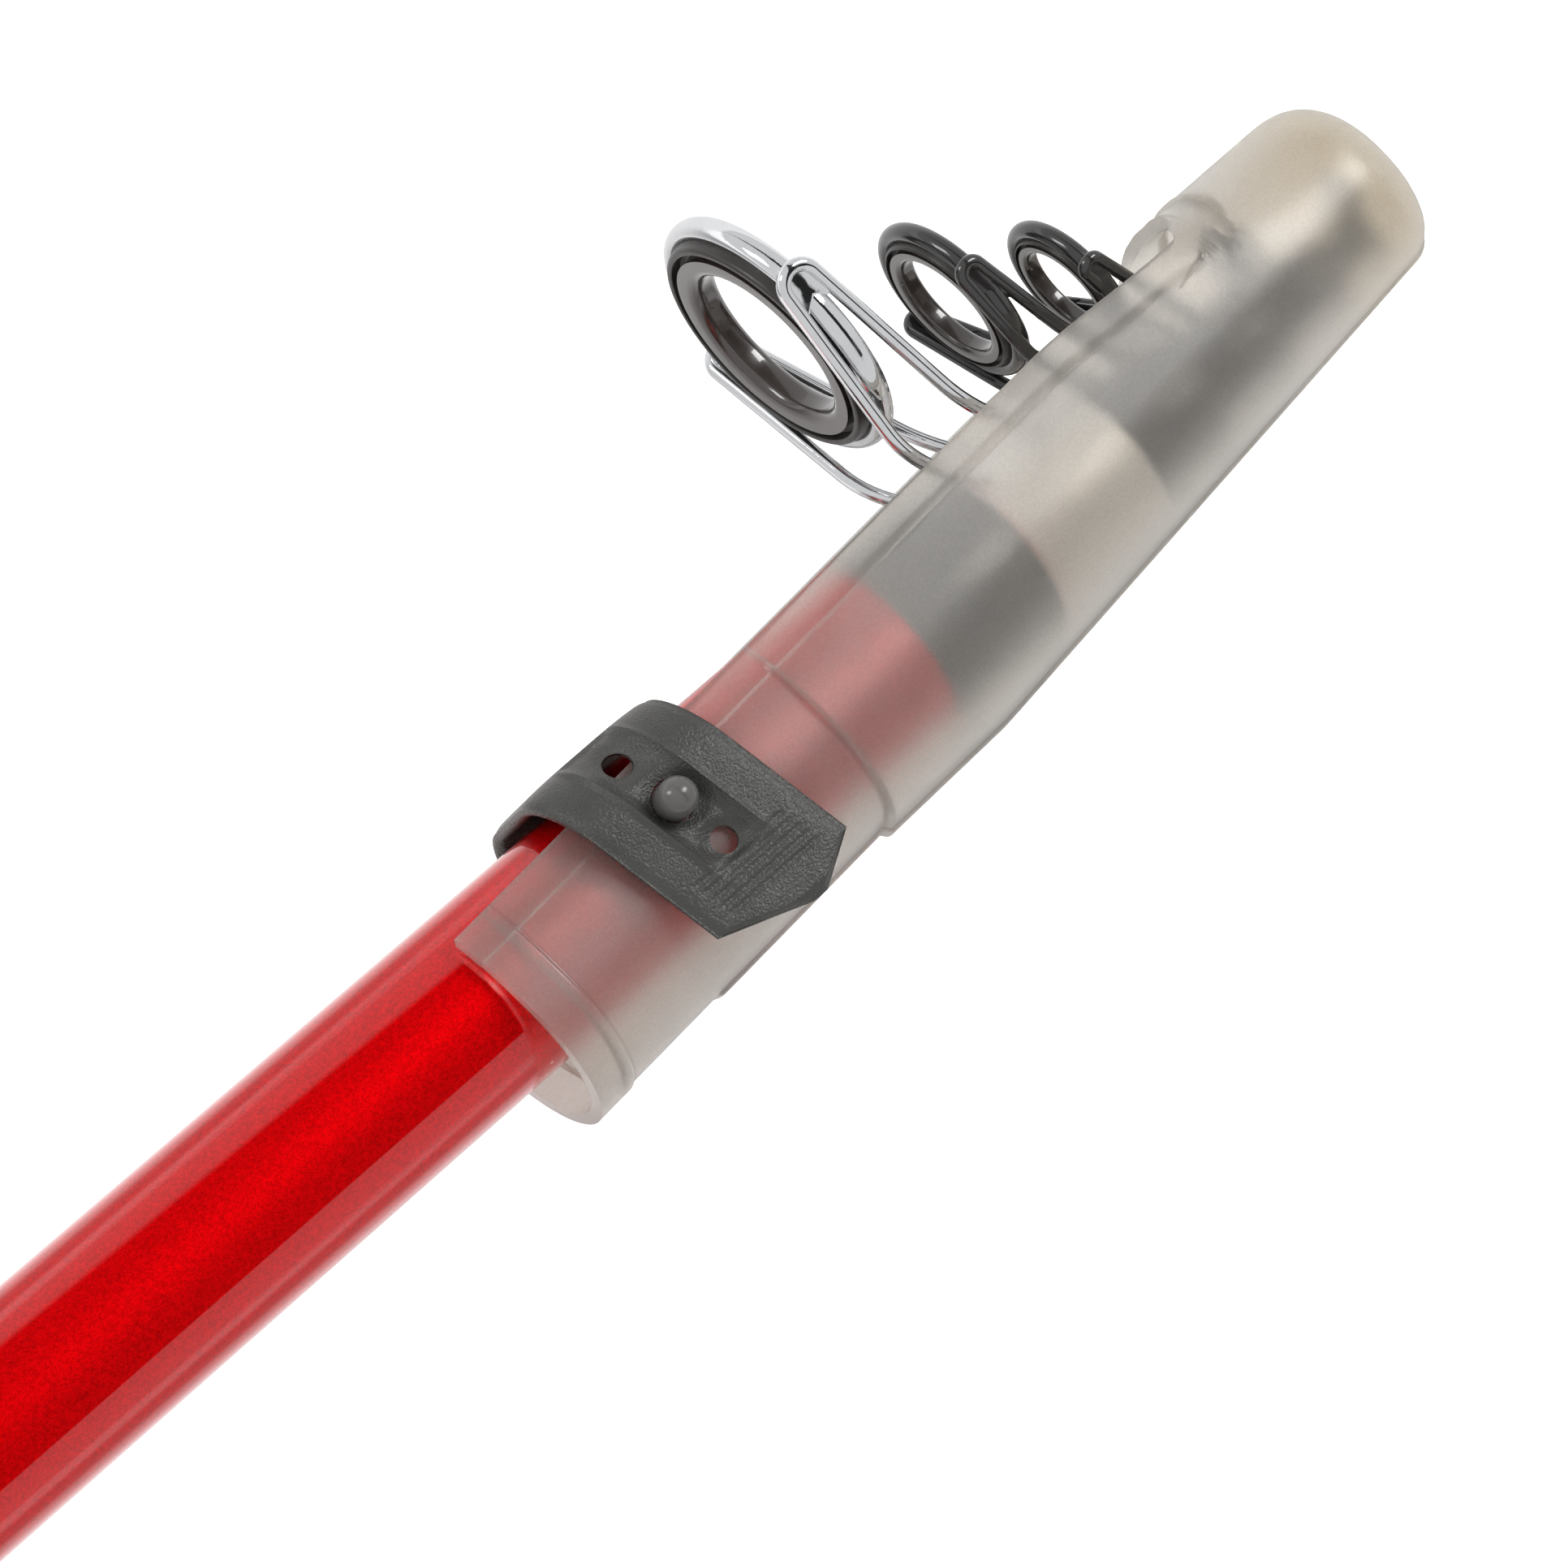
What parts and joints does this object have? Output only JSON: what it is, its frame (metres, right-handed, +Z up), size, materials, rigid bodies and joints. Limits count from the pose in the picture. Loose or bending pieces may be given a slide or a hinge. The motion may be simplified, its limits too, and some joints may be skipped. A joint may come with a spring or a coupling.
{
  "type": "telescopic fishing rod",
  "caption": "Closed telescopic spinning rod with nested sections, ringed line guides, reel seat and a strapped frosted tip cap.",
  "frame": {"origin": "on the rod's axis at the rear end of the rear grip", "axes": "+X along the rod towards its tip, +Y towards the guides and the reel foot, +Z up with the rod lying on its side"},
  "size_m": [0.4973, 0.0478, 0.0257],
  "materials": {
    "blank_lacquer": "red metallic lacquer over fibre",
    "collar_black": "gloss black",
    "grip_foam": "matt foam",
    "check_metal": "bright",
    "seat_plastic": "satin black",
    "arbor_foam": "foam",
    "nut_metal": "anodised",
    "plug_plastic": "moulded",
    "butt_rubber": "matt",
    "section_fibre": "dark glass fibre, lacquered",
    "guide_chrome": "polished",
    "guide_black": "gloss black",
    "shock_plastic": "satin black",
    "insert_ceramic": "polished dark ceramic",
    "cap_frost": "frosted, translucent",
    "strap_rubber": "satin dark grey",
    "pin_plastic": "satin"
  },
  "bodies": {
    "butt": {"butt_blank": "blank_lacquer", "mouth_collar": "collar_black", "rear_grip": "grip_foam", "fore_grip": "grip_foam", "winding_check": "check_metal", "reel_seat": "seat_plastic", "seat_arbors": "arbor_foam", "fixed_hood": "seat_plastic"},
    "reel_hood": {"sliding_hood": "seat_plastic"},
    "reel_nut": {"lock_nut": "nut_metal"},
    "butt_pad": {"butt_cushion": "butt_rubber"},
    "butt_cap": {"butt_plug": "plug_plastic", "butt_bumper": "butt_rubber"},
    "section_2": {"section_2": "section_fibre", "guide_1_sleeve": "guide_chrome", "guide_1_legs": "guide_chrome", "guide_1_hoop": "guide_chrome", "guide_1_shock_ring": "shock_plastic", "guide_1_insert": "insert_ceramic"},
    "section_3": {"section_3": "section_fibre", "guide_2_sleeve": "guide_black", "guide_2_legs": "guide_black", "guide_2_hoop": "guide_black", "guide_2_shock_ring": "shock_plastic", "guide_2_insert": "insert_ceramic"},
    "section_4": {"section_4": "section_fibre", "guide_3_sleeve": "guide_black", "guide_3_legs": "guide_black", "guide_3_hoop": "guide_black", "guide_3_shock_ring": "shock_plastic", "guide_3_insert": "insert_ceramic"},
    "section_5": {"section_5": "section_fibre", "guide_4_sleeve": "guide_black", "guide_4_legs": "guide_black", "guide_4_hoop": "guide_black", "guide_4_insert": "insert_ceramic"},
    "tip": {"tip_section": "section_fibre", "tip_top_tube": "guide_black", "tip_top_legs": "guide_black", "tip_top_hoop": "guide_black", "tip_top_insert": "insert_ceramic"},
    "cap": {"tip_cap": "cap_frost", "strap_pin": "pin_plastic", "strap_rivet": "pin_plastic"},
    "strap": {"strap": "strap_rubber"}
  },
  "joints": [
    {"name": "section_2_slide", "type": "slide", "parent": "butt", "child": "section_2", "axis": [1, 0, 0], "range_m": [0, 0.376]},
    {"name": "section_3_slide", "type": "slide", "parent": "section_2", "child": "section_3", "axis": [1, 0, 0], "range_m": [0, 0.388]},
    {"name": "section_4_slide", "type": "slide", "parent": "section_3", "child": "section_4", "axis": [1, 0, 0], "range_m": [0, 0.397]},
    {"name": "section_5_slide", "type": "slide", "parent": "section_4", "child": "section_5", "axis": [1, 0, 0], "range_m": [0, 0.405]},
    {"name": "tip_slide", "type": "slide", "parent": "section_5", "child": "tip", "axis": [1, 0, 0], "range_m": [0, 0.412]},
    {"name": "cap_pull", "type": "slide", "parent": "tip", "child": "cap", "axis": [1, 0, 0], "range_m": [0, 0.11]},
    {"name": "strap_open", "type": "hinge", "parent": "cap", "child": "strap", "pos_m": [0.3945, 0.0034, -0.01005], "axis": [-1, 0, 0], "range_deg": [0, 100], "deforming": ["strap"]},
    {"name": "hood_slide", "type": "slide", "parent": "butt", "child": "reel_hood", "axis": [1, 0, 0], "range_m": [0, 0.02]},
    {"name": "nut_spin", "type": "hinge", "parent": "reel_hood", "child": "reel_nut", "pos_m": [0.1035, 0, 0], "axis": [1, 0, 0], "range_deg": [0, 3600]},
    {"name": "butt_pad_slide", "type": "slide", "parent": "butt", "child": "butt_pad", "axis": [-1, 0, 0], "range_m": [0, 0.01]},
    {"name": "butt_cap_spin", "type": "hinge", "parent": "butt_pad", "child": "butt_cap", "pos_m": [-0.01, 0, 0], "axis": [-1, 0, 0], "range_deg": [0, 1800]}
  ],
  "couplings": [
    {"joint": "nut_spin", "follows": "hood_slide", "rad_per_m": 3141.6},
    {"joint": "butt_cap_spin", "follows": "butt_pad_slide", "rad_per_m": 3141.6}
  ]
}
